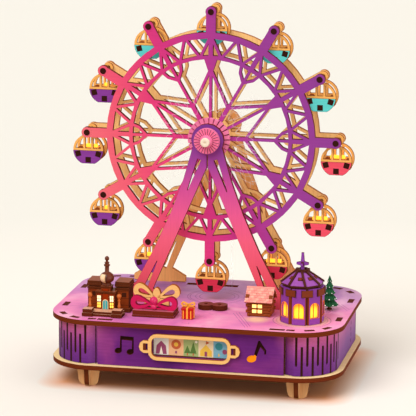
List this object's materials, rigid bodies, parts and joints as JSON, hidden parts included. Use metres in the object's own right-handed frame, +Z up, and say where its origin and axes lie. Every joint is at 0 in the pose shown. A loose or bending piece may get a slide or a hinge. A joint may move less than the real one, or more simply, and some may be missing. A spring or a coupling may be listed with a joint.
{
  "type": "ferris wheel music box",
  "caption": "Plywood ferris wheel with hanging cabins between two A-frames on a rounded music box, belt driven by a wind-up movement, with small buildings on its deck.",
  "frame": {"origin": "on the ground under the middle of the whole model, key included; the feet stand at z = 0", "axes": "+Z up, -Y is the front with the window, +X is to the right seen from the front; the wheel turns about +Y"},
  "size_m": [0.18, 0.1326, 0.2276],
  "materials": {
    "natural_wood": "bare laser-cut birch plywood, satin",
    "dark_wood": "brown stained plywood, satin",
    "purple_wood": "purple printed plywood, satin",
    "deck_print": "pink and lilac marbled print on plywood, satin",
    "leg_print": "purple to coral print on plywood, satin",
    "wheel_print": "pink to purple print on plywood, satin",
    "hub_pink": "pink painted plywood, satin",
    "cream_paint": "cream paint, satin",
    "clear_plastic": "clear, glossy",
    "brass": "satin",
    "steel": "satin",
    "rubber": "matte",
    "teal_paint": "teal printed plywood, satin",
    "coral_paint": "coral printed plywood, satin",
    "cabin_purple": "purple printed plywood, satin",
    "crimson_paint": "crimson printed plywood, satin",
    "tan_wood": "tan printed plywood, satin",
    "gift_red": "red, glossy",
    "roof_pink": "pink printed plywood, satin",
    "roof_purple": "light purple printed plywood, satin",
    "tree_green": "dark green, matte"
  },
  "bodies": {
    "base": {"bottom_plate": "natural_wood", "top_plate": "deck_print", "front_panel": "purple_wood", "back_panel": "purple_wood", "right_end_wrap": "purple_wood", "left_end_wrap": "purple_wood", "window_frame": "tan_wood", "window_pane": "clear_plastic", "scene_card": "cream_paint", "foot_front_left": "natural_wood", "foot_front_right": "natural_wood", "foot_rear_left": "natural_wood", "foot_rear_right": "natural_wood", "front_a_frame": "leg_print", "rear_a_frame": "natural_wood", "movement_bedplate": "brass", "comb": "steel", "governor": "brass", "drive_band": "rubber", "palace_walls": "dark_wood", "palace_dome": "dark_wood", "palace_steps": "dark_wood", "bow_plinth": "dark_wood", "bow_front_loops": "crimson_paint", "bow_back_loops": "tan_wood", "gift_box": "gift_red", "lobed_block": "dark_wood", "tree": "tree_green", "log_cabin_walls": "dark_wood", "log_cabin_roof": "roof_pink", "tower_walls": "purple_wood", "tower_roof": "roof_purple", "tower_finial": "purple_wood"},
    "wheel": {"axle": "steel", "front_wheel": "wheel_print", "rear_wheel": "natural_wood", "hub_spacer": "natural_wood", "clear_disc": "clear_plastic", "front_flange": "hub_pink", "rear_flange": "natural_wood", "drive_pulley": "natural_wood", "hub_cap_disc": "hub_pink", "hub_dome": "hub_pink", "hub_knob": "cream_paint"},
    "cabin_01_body": {"cabin_01": "teal_paint"},
    "cabin_02_body": {"cabin_02": "teal_paint"},
    "cabin_03_body": {"cabin_03": "teal_paint"},
    "cabin_04_body": {"cabin_04": "coral_paint"},
    "cabin_05_body": {"cabin_05": "coral_paint"},
    "cabin_06_body": {"cabin_06": "coral_paint"},
    "cabin_07_body": {"cabin_07": "coral_paint"},
    "cabin_08_body": {"cabin_08": "cabin_purple"},
    "cabin_09_body": {"cabin_09": "cabin_purple"},
    "cabin_10_body": {"cabin_10": "cabin_purple"},
    "cabin_11_body": {"cabin_11": "cabin_purple"},
    "cabin_12_body": {"cabin_12": "teal_paint"},
    "cylinder": {"pinned_cylinder": "brass", "output_pulley": "natural_wood"},
    "barrel": {"spring_barrel": "brass"},
    "key": {"winding_key": "steel"}
  },
  "joints": [
    {"name": "wheel_spin", "type": "hinge", "parent": "base", "child": "wheel", "pos_m": [0, 0, 0.1468], "axis": [0, 1, 0], "continuous": true},
    {"name": "cabin_01_swing", "type": "hinge", "parent": "wheel", "child": "cabin_01_body", "pos_m": [0, 0.0028, 0.2243], "axis": [0, 1, 0], "continuous": true},
    {"name": "cabin_02_swing", "type": "hinge", "parent": "wheel", "child": "cabin_02_body", "pos_m": [0.03875, 0.0028, 0.21392], "axis": [0, 1, 0], "continuous": true},
    {"name": "cabin_03_swing", "type": "hinge", "parent": "wheel", "child": "cabin_03_body", "pos_m": [0.06712, 0.0028, 0.18555], "axis": [0, 1, 0], "continuous": true},
    {"name": "cabin_04_swing", "type": "hinge", "parent": "wheel", "child": "cabin_04_body", "pos_m": [0.0775, 0.0028, 0.1468], "axis": [0, 1, 0], "continuous": true},
    {"name": "cabin_05_swing", "type": "hinge", "parent": "wheel", "child": "cabin_05_body", "pos_m": [0.06712, 0.0028, 0.10805], "axis": [0, 1, 0], "continuous": true},
    {"name": "cabin_06_swing", "type": "hinge", "parent": "wheel", "child": "cabin_06_body", "pos_m": [0.03875, 0.0028, 0.07968], "axis": [0, 1, 0], "continuous": true},
    {"name": "cabin_07_swing", "type": "hinge", "parent": "wheel", "child": "cabin_07_body", "pos_m": [0, 0.0028, 0.0693], "axis": [0, 1, 0], "continuous": true},
    {"name": "cabin_08_swing", "type": "hinge", "parent": "wheel", "child": "cabin_08_body", "pos_m": [-0.03875, 0.0028, 0.07968], "axis": [0, 1, 0], "continuous": true},
    {"name": "cabin_09_swing", "type": "hinge", "parent": "wheel", "child": "cabin_09_body", "pos_m": [-0.06712, 0.0028, 0.10805], "axis": [0, 1, 0], "continuous": true},
    {"name": "cabin_10_swing", "type": "hinge", "parent": "wheel", "child": "cabin_10_body", "pos_m": [-0.0775, 0.0028, 0.1468], "axis": [0, 1, 0], "continuous": true},
    {"name": "cabin_11_swing", "type": "hinge", "parent": "wheel", "child": "cabin_11_body", "pos_m": [-0.06712, 0.0028, 0.18555], "axis": [0, 1, 0], "continuous": true},
    {"name": "cabin_12_swing", "type": "hinge", "parent": "wheel", "child": "cabin_12_body", "pos_m": [-0.03875, 0.0028, 0.21392], "axis": [0, 1, 0], "continuous": true},
    {"name": "cylinder_turn", "type": "hinge", "parent": "base", "child": "cylinder", "pos_m": [0, 0, 0.0278], "axis": [0, 1, 0], "continuous": true},
    {"name": "barrel_turn", "type": "hinge", "parent": "base", "child": "barrel", "pos_m": [0.0143, 0.02, 0.0278], "axis": [0, 1, 0], "continuous": true},
    {"name": "key_wind", "type": "hinge", "parent": "base", "child": "key", "pos_m": [0.0143, 0.05, 0.0278], "axis": [0, 1, 0], "continuous": true}
  ],
  "couplings": [
    {"joint": "cabin_01_swing", "follows": "wheel_spin", "ratio": -1},
    {"joint": "cabin_02_swing", "follows": "wheel_spin", "ratio": -1},
    {"joint": "cabin_03_swing", "follows": "wheel_spin", "ratio": -1},
    {"joint": "cabin_04_swing", "follows": "wheel_spin", "ratio": -1},
    {"joint": "cabin_05_swing", "follows": "wheel_spin", "ratio": -1},
    {"joint": "cabin_06_swing", "follows": "wheel_spin", "ratio": -1},
    {"joint": "cabin_07_swing", "follows": "wheel_spin", "ratio": -1},
    {"joint": "cabin_08_swing", "follows": "wheel_spin", "ratio": -1},
    {"joint": "cabin_09_swing", "follows": "wheel_spin", "ratio": -1},
    {"joint": "cabin_10_swing", "follows": "wheel_spin", "ratio": -1},
    {"joint": "cabin_11_swing", "follows": "wheel_spin", "ratio": -1},
    {"joint": "cabin_12_swing", "follows": "wheel_spin", "ratio": -1},
    {"joint": "cylinder_turn", "follows": "wheel_spin", "ratio": 1},
    {"joint": "barrel_turn", "follows": "wheel_spin", "ratio": -0.4}
  ]
}
